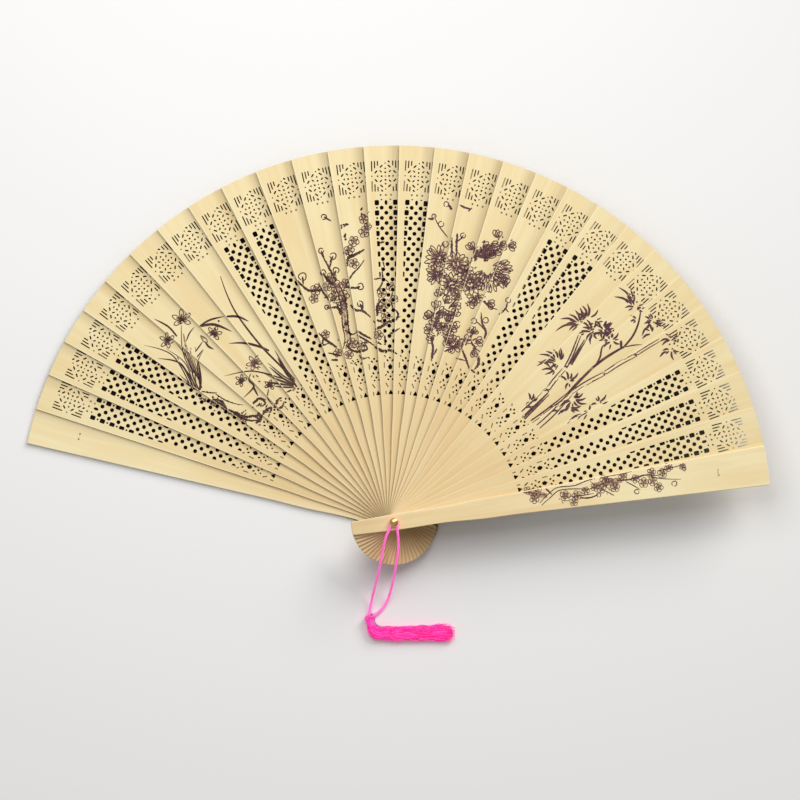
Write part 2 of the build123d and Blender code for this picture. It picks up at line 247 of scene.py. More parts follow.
def wood_material(place_in_fan, light, dark, tail_shade_share):
    """Pale close-grained wood, its grain along the stick, with scorched walls in the piercings. It has
    painted shade beside the next stick's edge, at the tail and towards the pivot, and a painted
    highlight along its own edge."""
    name, seed, angle = STICKS[place_in_fan], place_in_fan, stick_direction(place_in_fan)
    material, nodes, shader = new_material("wood_" + name)
    place = nodes.add("TexCoord").outputs["Object"]

    def along(length, width, shift=0.0):
        """Coordinates along and across the stick, in steps of that length and width."""
        inputs = {"Vector": place, "Location": (shift, shift, 0), "Rotation": (0, 0, angle),
                  "Scale": (length, width, width)}
        return nodes.add("Mapping", inputs, vector_type="TEXTURE").outputs["Vector"]

    fibre = nodes.noise(along(22 * MM, 0.55 * MM, seed * 0.31), 1.0, 5.0, 0.65, 0.3)
    band = nodes.noise(along(90 * MM, 5 * MM, seed * 0.17 + 0.4), 1.0, 3.0, 0.55, 0.8)
    cloud = nodes.noise(along(45 * MM, 22 * MM, seed * 0.23 + 0.9), 1.0, 2.0)
    tone = nodes.math("ADD", nodes.times(band, 0.6), nodes.times(cloud, 0.4))
    colour = nodes.mix(nodes.ramp(tone, 0.36, 0.66), light, dark)
    colour = nodes.mix(nodes.times(nodes.ramp(fibre, 0.56, 0.80), 0.20), colour, PORE)
    colour = nodes.mix(nodes.times(nodes.ramp(fibre, 0.46, 0.26), 0.25), colour, light)

    axis = nodes.add("SeparateXYZ", {0: along(1.0, 1.0)}).outputs
    from_pivot, from_middle = axis[0], nodes.math("ABSOLUTE", axis[1])
    slope = (LEAF_HALF[1] - LEAF_HALF[0]) / (BLADE_END - BLADE_START)
    half = nodes.math("MULTIPLY_ADD", from_pivot, slope, LEAF_HALF[0] - slope * BLADE_START)
    half = nodes.math("MAXIMUM", half, NECK_HALF)
    upright = nodes.add("SeparateXYZ", {0: nodes.add("NewGeometry").outputs["True Normal"]}).outputs[2]
    wall = nodes.math("LESS_THAN", nodes.math("ABSOLUTE", upright), 0.5)
    face = nodes.math("SUBTRACT", 1.0, wall)
    # painted highlight: lighter colour along the stick's own edge
    rubbed = nodes.ramp(nodes.math("SUBTRACT", half, axis[1]), EDGE_HIGHLIGHT_INNER, EDGE_HIGHLIGHT_OUTER)
    colour = nodes.mix(nodes.times(rubbed, EDGE_HIGHLIGHT_SHARE), colour, EDGE_HIGHLIGHT_COLOUR)
    if name != STICKS[-1]:
        # painted shade on the face beside the next stick's edge, where that edge would cast its shadow
        turn = math.sin(angle - stick_direction(place_in_fan + 1))
        next_edge = nodes.math("SUBTRACT", half, nodes.times(from_pivot, turn))
        beside = nodes.math("SUBTRACT", axis[1], next_edge)
        spread = nodes.ramp(nodes.math("DIVIDE", beside, from_pivot), EDGE_REACH, 0.0)
        edge_shaded = nodes.times(spread, edge_depth(angle))
        colour = nodes.mix(nodes.times(edge_shaded, face), colour, EDGE_SHADE_COLOUR, "MULTIPLY")
        # painted shade on the tail beside the next stick's edge
        tail_edge = nodes.math("MULTIPLY_ADD", from_pivot, -turn, -TAIL_HALF)
        below = nodes.ramp(nodes.math("SUBTRACT", tail_edge, axis[1]), TAIL_REACH, 0.0)
        in_tail = nodes.times(nodes.ramp(from_pivot, -1 * MM, -6 * MM), face)
        tail_edge_shaded = nodes.times(nodes.times(below, in_tail), TAIL_EDGE_SHADE)
        colour = nodes.mix(tail_edge_shaded, colour, EDGE_SHADE_COLOUR, "MULTIPLY")
    # painted shade towards the pivot
    colour = nodes.mix(nodes.ramp(from_pivot, NECK_SHADE_START, NECK_SHADE_FULL), colour, NECK_SHADE_TINT, "MULTIPLY")
    # painted shade on the tail, growing away from the pivot
    tail_shaded = nodes.times(nodes.ramp(from_pivot, 0.0, -TAIL_SHADE_REACH), tail_shade_share)
    colour = nodes.mix(tail_shaded, colour, TAIL_SHADE_COLOUR)
    inside = nodes.math("LESS_THAN", from_middle, nodes.times(half, PIERCED_HALF))
    beyond_neck = nodes.math("GREATER_THAN", from_pivot, PIERCED_START)
    below_rim = nodes.math("LESS_THAN", from_pivot, PIERCED_END)
    scorch = nodes.times(nodes.times(wall, inside), nodes.times(beyond_neck, below_rim))
    burnt = nodes.mix(nodes.ramp(nodes.noise(place, 900, 3.0), 0.25, 0.75), BURNT, SOOT)
    colour = nodes.mix(scorch, colour, burnt)
    cut = nodes.math("SUBTRACT", nodes.times(wall, CUT_SHARE), nodes.times(scorch, CUT_SHARE))
    colour = nodes.mix(cut, colour, PORE)

    rough = nodes.math("ADD", 0.52, nodes.times(fibre, 0.22))
    nodes.fill(shader, {"Base Color": colour, "Roughness": rough, "Specular IOR Level": 0.32,
                        "Normal": nodes.bump(fibre, 0.22, 0.06 * MM)})
    return material


def edge_depth(angle):
    """How deep the painted shade beside the next one's edge is for a stick at an angle: most near the
    top of the fan and least at the right, where the light runs along the edges."""
    degrees = math.degrees(angle)
    rise = min(1, max(0, (degrees - 54) / 26))
    fall = min(1, max(0, (degrees - 112) / 22))
    return EDGE_LEAST + EDGE_RISE * rise - EDGE_FALL * fall


def brass_material():
    """Turned brass with fine rubbed marks and a little tarnish."""
    material, nodes, shader = new_material("rivet_brass")
    place = nodes.add("TexCoord").outputs["Object"]
    rubbed = nodes.noise(place, 2600, 4.0, 0.6)
    tarnish = nodes.ramp(nodes.noise(place, 700, 3.0), 0.45, 0.75)
    colour = nodes.mix(tarnish, linear(246, 222, 128), linear(206, 164, 74))
    rough = nodes.math("ADD", 0.16, nodes.times(rubbed, 0.22))
    nodes.fill(shader, {"Base Color": colour, "Metallic": 1.0, "Roughness": rough,
                        "Normal": nodes.bump(rubbed, 0.12, 0.02 * MM)})
    return material


def silk_material(name, light, dark, ply, painted_glow):
    """Silk thread in a bright fluorescent dye, with a painted glow: it gives off light of its own colour,
    though it is no lamp. The UVs run along a strand in millimetres and once round it."""
    material, nodes, shader = new_material(name)
    place = nodes.add("TexCoord").outputs
    run = nodes.add("SeparateXYZ", {0: place["UV"]}).outputs
    turns = nodes.math("ADD", nodes.times(run[0], ply), nodes.times(run[1], 2.0))
    wave = nodes.math("SINE", nodes.times(turns, 2 * math.pi))
    tone = nodes.add("Attribute", attribute_name="tone").outputs["Fac"]
    patch = nodes.noise(place["Object"], 300, 4.0, 0.6)
    share = nodes.math("MULTIPLY_ADD", wave, 0.10, nodes.math("MULTIPLY_ADD", tone, 0.5, patch))
    colour = nodes.mix(nodes.ramp(share, 0.45, 1.05), light, dark)
    # the emission is a painted glow
    nodes.fill(shader, {"Base Color": colour, "Emission Color": colour, "Emission Strength": painted_glow,
                        "Roughness": 0.42, "Sheen Weight": 0.35, "Sheen Tint": light,
                        "Normal": nodes.bump(wave, 0.5, 0.05 * MM)})
    return material


def ink_material():
    """Printing ink that has sunk into the wood unevenly, dark brown on the left half of the fan and
    more purple on the right."""
    material, nodes, shader = new_material("ink")
    place = nodes.add("TexCoord").outputs["Object"]
    dry = nodes.ramp(nodes.noise(place, 1500, 4.0, 0.6), 0.42, 0.80)
    pale = nodes.ramp(nodes.noise(place, 260, 2.0), 0.48, 0.78)
    half = nodes.ramp(nodes.add("SeparateXYZ", {0: place}).outputs[0], 0.0, 12 * MM)
    full = nodes.mix(half, linear(60, 39, 40), linear(82, 52, 62))
    colour = nodes.mix(pale, full, linear(106, 76, 74))
    colour = nodes.mix(nodes.times(dry, 0.3), colour, linear(168, 130, 104))
    thin = nodes.mix(nodes.ramp(nodes.noise(place, 700, 3.0), 0.35, 0.7), linear(150, 116, 98),
                     linear(208, 180, 138))
    colour = nodes.mix(nodes.add("Attribute", attribute_name="wash").outputs["Fac"], colour, thin)
    nodes.fill(shader, {"Base Color": colour, "Roughness": 0.75, "Specular IOR Level": 0.2})
    return material


def thread_material():
    """Cream cotton binding thread."""
    material, nodes, shader = new_material("binding_thread")
    place = nodes.add("TexCoord").outputs["Object"]
    lay = nodes.noise(place, 2200, 3.0)
    colour = nodes.mix(lay, linear(236, 222, 186), linear(204, 184, 140))
    nodes.fill(shader, {"Base Color": colour, "Roughness": 0.8, "Normal": nodes.bump(lay, 0.4, 0.03 * MM)})
    return material


# --- meshes ---------------------------------------------------------------------------------


class Strands:
    """A mesh of round strands, with UVs along them and a tone for each."""

    def __init__(self):
        self.points, self.faces, self.uvs, self.tones = [], [], [], []

    def add(self, path, radius, sides, tone=0.0, flat=1.0):
        """A closed tube along a path. The radius may be a function of the share of its length."""
        size = radius if callable(radius) else (lambda share: radius)
        base = len(self.points)
        run = 0.0
        for index, (point, normal, across) in enumerate(path_frames(path)):
            if index:
                run += (point - path[index - 1]).length
            reach = size(index / (len(path) - 1))
            for side in range(sides):
                turn = 2 * math.pi * side / sides
                ring = (normal * math.cos(turn) + across * math.sin(turn)) * reach
                ring.z *= flat
                self.points.append(point + ring)
                self.tones.append(tone)
            if index:
                back, here = base + (index - 1) * sides, base + index * sides
                before = (run - (point - path[index - 1]).length) / MM
                for side in range(sides):
                    after = (side + 1) % sides
                    self.faces.append((back + side, back + after, here + after, here + side))
                    low, high = side / sides, (side + 1) / sides
                    self.uvs += [(before, low), (before, high), (run / MM, high), (run / MM, low)]
        last = base + (len(path) - 1) * sides
        self.faces.append(tuple(range(base + sides - 1, base - 1, -1)))
        self.faces.append(tuple(range(last, last + sides)))
        self.uvs += [(0, 0)] * sides + [(run / MM, 0)] * sides

    def make(self, name, material):
        piece = mesh_object(name, self.points, self.faces, material, smooth=True)
        layer = piece.data.uv_layers.new(name="run")
        for loop, uv in zip(layer.data, self.uvs):
            loop.uv = uv
        tones = piece.data.attributes.new("tone", "FLOAT", "POINT")
        tones.data.foreach_set("value", self.tones)
        return piece


def mesh_object(name, points, faces, material, smooth=False):
    mesh = bpy.data.meshes.new(name)
    mesh.from_pydata([tuple(point) for point in points], [], faces)
    mesh.materials.append(material)
    if smooth:
        mesh.polygons.foreach_set("use_smooth", [True] * len(mesh.polygons))
    piece = bpy.data.objects.new(name, mesh)
    bpy.context.scene.collection.objects.link(piece)
    return piece


def spline_path(points, step):
    """Points at even steps along the smooth NURBS line that a route controls."""
    curve = bpy.data.curves.new("route", "CURVE")
    curve.dimensions = "3D"
    spline = curve.splines.new("NURBS")
    spline.points.add(len(points) - 1)
    for control, point in zip(spline.points, points):
        control.co = (*point, 1)
    spline.order_u = 3
    spline.use_endpoint_u = True
    spline.resolution_u = 24
    guide = bpy.data.objects.new("route", curve)
    line = bpy.data.meshes.new_from_object(guide)
    fine = [vertex.co.copy() for vertex in line.vertices]
    bpy.data.objects.remove(guide)
    bpy.data.curves.remove(curve)
    bpy.data.meshes.remove(line)
    return even_path(fine, step)


def even_path(points, step):
    """The same line with its points at even steps."""
    lengths = [0.0]
    for before, after in zip(points, points[1:]):
        lengths.append(lengths[-1] + (after - before).length)
    count = max(2, round(lengths[-1] / step))
    path, index = [], 0
    for number in range(count + 1):
        wanted = lengths[-1] * number / count
        while index < len(points) - 2 and lengths[index + 1] < wanted:
            index += 1
        span = lengths[index + 1] - lengths[index]
        share = (wanted - lengths[index]) / span if span else 0
        path.append(points[index].lerp(points[index + 1], share))
    return path


def path_length(path):
    return sum((after - before).length for before, after in zip(path, path[1:]))


def way_at(path, index):
    """From the point before this one to the point after it. A line's end stands in for what lies
    past it."""
    return Vector(path[min(index + 1, len(path) - 1)]) - Vector(path[max(index - 1, 0)])


def path_frames(path):
    """Position, and two unit vectors across the line, that turn with it and not about it."""
    frames, normal = [], None
    for index, point in enumerate(path):
        ahead = way_at(path, index).normalized()
        if normal is None:
            normal = ahead.orthogonal().normalized()
        normal = (normal - ahead * normal.dot(ahead)).normalized()
        frames.append((point, normal, ahead.cross(normal)))
    return frames


# --- cord and tassel ------------------------------------------------------------------------

CORD_DIAMETER = 1.3 * MM
CORD_STEP = 0.35 * MM
CORD_TWIST = 3.4 * MM  # one turn of the three strands
STRAND_SHARE = 0.6  # a strand's radius over the cord's

CORD_LEVEL = 23.05  # millimetres, at the rivet's neck
LEFT_ROUTE = [
    (-1.6, 0, CORD_LEVEL),
    (-1.6, -3.0, CORD_LEVEL),
    (-3.4, -6.2, CORD_LEVEL),
    (-4.3, -11.2, 21.0),
    (-5.0, -16.4, 18.4),
    (-5.6, -21.4, 15.4),
    (-6.5, -26.6, 11.0),
    (-7.4, -31.6, 6.8),
    (-8.3, -36.4, 3.2),
    (-9.1, -41.0, 1.4),
    (-9.5, -45.6, 1.6),
]
RIGHT_ROUTE = [
    (1.6, 0, CORD_LEVEL),
    (1.6, -3.2, CORD_LEVEL),
    (2.4, -7.2, 22.2),
    (2.7, -12.4, 19.4),
    (2.3, -17.6, 16.2),
    (1.8, -22.6, 12.6),
    (1.2, -27.6, 8.6),
    (0.4, -32.4, 4.8),
    (-0.7, -37.0, 2.0),
    (-2.4, -41.0, 1.0),
    (-4.9, -44.0, 1.0),
    (-7.9, -46.3, 1.6),
]


def metres(point):
    return Vector(point) * MM


def twisted(strands, path):
    """The cord's three strands laid round each other along a path."""
    strand_radius = CORD_DIAMETER / 2 * STRAND_SHARE
    offset = CORD_DIAMETER / 2 - strand_radius
    step = path_length(path) / (len(path) - 1)
    for strand in range(3):
        line = []
        for index, (point, normal, across) in enumerate(path_frames(path)):
            turn = 2 * math.pi * (strand / 3 + index * step / CORD_TWIST)
            line.append(point + (normal * math.cos(turn) + across * math.sin(turn)) * offset)
        strands.add(line, strand_radius, sides=8, tone=0.12 * strand)


def make_cord(name, route, node, material):
    """One strand of the tassel's cord, from the rivet's neck to the knot."""
    path = spline_path([metres(point) for point in route], CORD_STEP)
    cord = Strands()
    twisted(cord, path)
    piece = cord.make(name, material)
    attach(piece, FRONT_BODY)
    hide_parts(node)


def make_cord_loop(material):
    """The bight of the cord round the rivet's neck."""
    radius = -LEFT_ROUTE[0][0] * MM
    count = 24
    turns = [math.pi * (1 - index / count) for index in range(count + 1)]
    path = [Vector((radius * math.cos(t), radius * math.sin(t), CORD_LEVEL * MM)) for t in turns]
    loop = Strands()
    twisted(loop, path)
    piece = loop.make("cord_bight", material)
    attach(piece, FRONT_BODY)
    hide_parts("cord_loop")


KNOT_FILL = 1.12  # of the knot's place
KNOT_THICKNESS = 0.85 * MM


def make_knot(material):
    """An overhand knot pulled tight: a trefoil of cord that fills the knot's place."""
    low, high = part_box("tassel_knot")
    centre, reach = (low + high) / 2, KNOT_FILL * (high.x - low.x) / 2
    size = (reach - KNOT_THICKNESS) / 3
    count = 96
    line = []
    for index in range(count + 1):
        t = 2 * math.pi * index / count
        around = Vector((math.sin(t) + 2 * math.sin(2 * t), math.cos(t) - 2 * math.cos(2 * t),
                         -1.7 * math.sin(3 * t)))
        line.append(centre + around * size)
    knot = Strands()
    knot.add(line, KNOT_THICKNESS, sides=12)
    core = [centre + Vector((0, 0, z)) * reach for z in (-0.5, -0.25, 0, 0.25, 0.5)]
    knot.add(core, lambda share: reach * (0.35 + 0.25 * math.sin(math.pi * share)), sides=12, tone=0.6)
    piece = knot.make("tassel_knot_cord", material)
    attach(piece, FRONT_BODY)
    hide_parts("tassel_knot")


SKIRT_ROUTE = [(-8.6, -49.3, 2.1), (-7.9, -51.2, 2.1), (-6.3, -53.2, 2.1), (-3.6, -53.9, 2.1),
               (2.5, -53.4, 2.1), (12.0, -52.9, 2.1), (22.0, -52.1, 2.1), (33.0, -51.4, 2.1)]
SKIRT_THREADS = 190
SKIRT_LOCKS = 7
# in millimetres: half the width at the neck and what it gains, half the height and how it changes
SKIRT_NECK, SKIRT_WIDER, SKIRT_FRAYED = 1.5, 1.4, 0.8
SKIRT_HEIGHT, SKIRT_CROWN, SKIRT_FALL = 1.6, 0.35, 0.7
FRAY_START, FRAY_LENGTH = 0.55, 0.45  # of the skirt's length
FLOSS_RADIUS = 0.17 * MM
WRAP_START, WRAP_BEFORE = (-8.9, -48.5, 2.1), (-9.2, -47.4, 2.1)
WRAP_TURNS, WRAP_LENGTH = 7, 1.9 * MM
WRAP_RADIUS, WRAP_CORE = 1.72, 1.66  # millimetres
WRAP_THREAD = 0.2 * MM


def make_wrap(material):
    """Turns of thread tight round the skirt's neck."""
    route = spline_path([metres(point) for point in SKIRT_ROUTE], 0.2 * MM)
    start, way = metres(WRAP_START), (route[8] - metres(WRAP_BEFORE)).normalized()
    side = Vector((-way.y, way.x, 0))
    count = WRAP_TURNS * 20
    line = []
    for index in range(count + 1):
        turn = 2 * math.pi * WRAP_TURNS * index / count
        around = side * math.cos(turn) + Vector((0, 0, 1)) * math.sin(turn)
        line.append(start + way * (WRAP_LENGTH * index / count) + around * WRAP_RADIUS * MM)
    wrap = Strands()
    wrap.add(line, WRAP_THREAD, sides=6, tone=0.35)
    core = [start + way * (WRAP_LENGTH * share) for share in (0, 0.33, 0.66, 1)]
    wrap.add(core, WRAP_CORE * MM, sides=20, tone=0.8)
    piece = wrap.make("tassel_wrap_thread", material)
    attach(piece, FRONT_BODY)
    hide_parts("tassel_wrap")


def make_skirt(material):
    """The tassel's skirt: fine silk threads that bend round, wave in locks and fray at the end."""
    draw = random.Random(11)
    middle = spline_path([metres(point) for point in SKIRT_ROUTE], 1.0 * MM)
    floor = FLOSS_RADIUS * 1.05
    skirt = Strands()
    # a wave is its start, its turn at each step, and its size in millimetres
    locks = [[(draw.uniform(0, 2 * math.pi), draw.uniform(0.25, 0.75), draw.uniform(0.2, 0.5))
              for _ in range(2)] for _ in range(SKIRT_LOCKS)]
    for number in range(SKIRT_THREADS):
        turn, reach = draw.uniform(0, 2 * math.pi), math.sqrt(draw.random())
        side, up = math.cos(turn) * reach, math.sin(turn) * reach
        waves = [(draw.uniform(0, 2 * math.pi), draw.uniform(0.12, 0.5), draw.uniform(0.15, 0.6))
                 for _ in range(3)]
        fray = draw.gauss(0, 0.35)
        ends = draw.choice((0.90, 0.95, 0.98, 1.0)) - abs(draw.gauss(0, 0.04))
        last = max(6, int(ends * (len(middle) - 1)))
        line = []
        for index, point in enumerate(middle[:last + 1]):
            ahead = way_at(middle, index).normalized()
            across = Vector((-ahead.y, ahead.x, 0))
            share = index / (len(middle) - 1)
            width = SKIRT_NECK + SKIRT_WIDER * min(1, share * 9)
            width += SKIRT_FRAYED * max(0, share - FRAY_START) / FRAY_LENGTH
            height = SKIRT_HEIGHT + SKIRT_CROWN * math.sin(math.pi * share) - SKIRT_FALL * share
            drift = sum(size * math.sin(start + rate * index)
                        for start, rate, size in waves + locks[number % SKIRT_LOCKS])
            loose = min(1, share * 4)
            shift = side * width + (drift * 0.7 + fray * share**2 * 2.2) * loose
            rise = up * height + drift * 0.4 * loose
            spot = point + across * shift * MM + Vector((0, 0, rise * MM))
            spot.z = max(floor, spot.z - 0.55 * MM * share)
            line.append(spot)
        tone = draw.random()
        skirt.add(line, lambda s: FLOSS_RADIUS * (1 - 0.45 * s**4), sides=5, tone=tone)
    piece = skirt.make("tassel_skirt_threads", material)
    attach(piece, FRONT_BODY)
    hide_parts("tassel_skirt")


# --- printed plants -------------------------------------------------------------------------

INK_LIFT = 0.02 * MM
INK_LAYER = 0.002 * MM
INK_LAYERS = 12  # strokes that cross lie at slightly different heights
PROBE_START, PROBE_REACH = MM, 1.02 * MM  # above a stick's face, and from there to just below it
INK_STEP = 0.3  # millimetres along a stroke
INK_CELL = 0.5  # millimetres across a stroke, at most
THINNEST = 0.12  # millimetres
BLADE_WIDTH = 0.8  # millimetres of a bamboo leaf's stroke
SWOLLEN, THINNING = 0.35, 0.45  # shares of a stroke's length where it is full and where it thins


def through(points):
    """Points along a smooth curve through the given ones, at about even steps."""
    ends = [points[0], *points, points[-1]]
    line = []
    for a, b, c, d in zip(ends, ends[1:], ends[2:], ends[3:]):
        count = max(1, round(math.dist(b, c) / INK_STEP))
        for number in range(count):
            t = number / count
            line.append(tuple(
                b[i] + 0.5 * t * (c[i] - a[i] + t * (2 * a[i] - 5 * b[i] + 4 * c[i] - d[i]
                                                     + t * (3 * (b[i] - c[i]) + d[i] - a[i])))
                for i in (0, 1)))
    return line + [tuple(points[-1])]


def off(x, y, reach, way):
    """The point at a reach from another, in the direction of an angle in radians."""
    return x + reach * math.cos(way), y + reach * math.sin(way)


def pairs(numbers):
    """A flat row of numbers as (x, y) points."""
    return list(zip(numbers[::2], numbers[1::2]))


class Print:
    """Brush strokes laid flat over the open fan, in millimetres, kept as small four-sided cells. The
    weight makes a whole group's strokes heavier. A wash is a stroke in thin, pale ink."""

    def __init__(self, seed):
        self.cells = []
        self.laid = 0
        self.draw = random.Random(seed)
        self.weight = 1.0

    def wash(self, points, width):
        """A pale stroke, which the weight leaves as it is."""
        self.stroke(points, width / self.weight, start=0.6, end=0.6, rough=0.12, wash=True)

    def stroke(self, points, width, start=0.35, end=0.1, rough=0.0, wash=False):
        """A stroke that swells from its start and thins out to its end."""
        line = through(points)
        width *= self.weight
        self.laid += 1
        layer = self.laid % INK_LAYERS
        before = None
        for index, (x, y) in enumerate(line):
            share = index / (len(line) - 1)
            swell = math.sin(math.pi / 2 * min(1, share / SWOLLEN))
            thin = math.cos(math.pi / 2 * max(0, (share - THINNING) / (1 - THINNING)))
            size = width * (start + (1 - start) * swell) * (end + (1 - end) * thin)
            size *= 1 + rough * self.draw.uniform(-1, 1)
            ahead = way_at(line, index)
            if ahead.length < 1e-6:
                continue
            side = Vector((-ahead.y, ahead.x)).normalized() * max(size, THINNEST) / 2
            shift = side * rough * self.draw.uniform(-1, 1)
            low, high = Vector((x, y)) - side + shift, Vector((x, y)) + side + shift
            if before:
                columns = max(1, math.ceil(width / INK_CELL))
                for column in range(columns):
                    near, far = column / columns, (column + 1) / columns
                    self.cells.append(([before[0].lerp(before[1], near), low.lerp(high, near),
                                        low.lerp(high, far), before[0].lerp(before[1], far)], wash, layer))
            before = (low, high)

    def strokes(self, start, end, rough, rows):
        """Strokes alike in their ends, each given as a row of its width and its points' x and y."""
        for width, *places in rows:
            self.stroke(pairs(places), width, start, end, rough)

    def ring(self, x, y, radius, width, turn, arc):
        """A hand-drawn ring or part of one."""
        count = max(6, round(radius * 7 * arc / 360))
        points = []
        for number in range(count + 1):
            angle = math.radians(turn + arc * number / count)
            reach = radius * (1 + 0.07 * math.sin(3 * angle + turn))
            points.append(off(x, y, reach, angle))
        self.stroke(points, width, start=0.8, end=0.7)

    def loop(self, x, y, length, breadth, angle, width=0.34):
        """One petal that grows out from a point: pale inside a thin outline."""
        way = math.radians(angle)
        self.wash([(x, y), off(x, y, 0.55 * length, way)], 0.7 * breadth)
        along, across = Vector((math.cos(way), math.sin(way))), Vector((-math.sin(way), math.cos(way)))
        shape = [(0.0, 0.0), (0.35, 0.42), (0.72, 0.5), (1.0, 0.0), (0.72, -0.5), (0.35, -0.42), (0.0, 0.0)]
        points = [Vector((x, y)) + along * length * u + across * breadth * v for u, v in shape]
        self.stroke([tuple(p) for p in points], width, start=0.7, end=0.6)

    def dab(self, x, y, length, angle, width):
        """A short pointed touch of the brush."""
        way = math.radians(angle)
        self.stroke([off(x, y, -length / 2, way), (x, y), off(x, y, length / 2, way)], width)

    def scatter(self, x, y, spread, count, length, angle, width):
        """Loose dabs about a point, along an angle or, where it is None, in all directions."""
        for _ in range(count):
            turn = self.draw.uniform(0, 360) if angle is None else angle + self.draw.gauss(0, 18)
            self.dab(x + self.draw.gauss(0, spread), y + self.draw.gauss(0, spread),
                     length * self.draw.uniform(0.6, 1.3), turn, width * self.draw.uniform(0.7, 1.2))

    def plum_blossom(self, x, y, radius, turn):
        """Five round petals with stamens."""
        self.wash([(x - 0.6 * radius, y), (x, y + 0.1), (x + 0.6 * radius, y)], 1.3 * radius)
        for petal in range(5):
            way = math.radians(turn + 72 * petal)
            self.ring(*off(x, y, 0.58 * radius, way), 0.44 * radius, 0.32, turn + 72 * petal - 130, 260)
            self.dab(*off(x, y, 0.3 * radius, way + 0.6), 0.5 * radius, math.degrees(way) + 34, 0.3)
        self.dab(x, y, 0.5, turn, 0.5)

    def bud(self, x, y, radius, stem=None):
        """A round bud, and a stroke to its twig where the twig's place is given."""
        self.ring(x, y, radius, 0.46, self.draw.uniform(0, 360), 330)
        if stem:
            self.stroke([(x, y), stem], 0.7, start=0.5, end=0.4)

    def chrysanthemum(self, x, y, inner, outer, count, turn, arc, dark):
        """A row of petals round a centre, with a number of dark dabs where the bloom faces the eye."""
        for number in range(count):
            angle = turn + arc * (number + self.draw.uniform(-0.2, 0.2)) / count
            way = math.radians(angle)
            start = inner * self.draw.uniform(0.85, 1.15)
            length = (outer - inner) * self.draw.uniform(0.75, 1.05)
            breadth = max(1.2, 4.2 * outer / count * arc / 360)
            foot = off(x, y, start, way)
            self.loop(*foot, length, breadth, angle + self.draw.gauss(0, 5), 0.4)
            if number % 2:
                self.stroke([foot, off(x, y, start + 0.5 * length, way + 0.04)], 0.6)
        self.scatter(x, y, inner * 0.6 + 0.2, dark, 1.1, None, 0.6)

    def orchid(self, x, y, size, turn):
        """Three long petals above two short ones, and a dark lip."""
        for angle, length in ((90, 1.0), (35, 0.95), (150, 0.95), (-25, 0.8), (205, 0.8)):
            self.loop(x, y, size * length, size * 0.34, turn + angle, 0.36)
            tip = off(x, y, 0.62 * size * length, math.radians(turn + angle))
            self.stroke([(x, y), tip], 0.42, start=1.0, end=0.1)
        self.scatter(x, y, size * 0.16, 5, size * 0.4, None, 0.6)

    def stalk(self, points, breadth, width, joints=()):
        """A bamboo stem: two lines with a collar at each joint."""
        line = through(points)
        sides = ([], [])
        for index, point in enumerate(line):
            ahead = way_at(line, index)
            across = Vector((-ahead.y, ahead.x)).normalized() * breadth / 2
            for side, sign in zip(sides, (1, -1)):
                side.append(tuple(Vector(point) + across * sign))
        for side in sides:
            self.stroke(side[::8] + [side[-1]], width, start=0.8, end=0.5, rough=0.12)
        for joint in joints:
            index = round(joint * (len(line) - 1))
            self.stroke([sides[0][index], sides[1][index]], 0.6, start=0.9, end=0.8)
            self.dab(*line[index], breadth * 1.5, 20, 0.45)

    def blades(self, x, y, tips):
        """Pointed leaves from one twig end to each of their tips, with a shorter one beside some."""
        for number, tip in enumerate(tips):
            along = Vector(tip) - Vector((x, y))
            start = Vector((x, y)) + self.draw.uniform(0.12, 0.36) * along
            middle = Vector((x, y)) + 0.6 * along + 0.1 * Vector((along.y, -along.x))
            self.stroke([tuple(start), tuple(middle), tip], BLADE_WIDTH, start=0.3, end=0.05)
            if number % 3:
                swing = Matrix.Rotation(math.radians(self.draw.choice((-26, 22, 34))), 2)
                short = swing @ along * self.draw.uniform(0.65, 0.9)
                self.stroke([(x + 0.4 * short.x, y + 0.4 * short.y), (x + short.x, y + short.y)],
                            0.7 * BLADE_WIDTH, start=0.3, end=0.08)


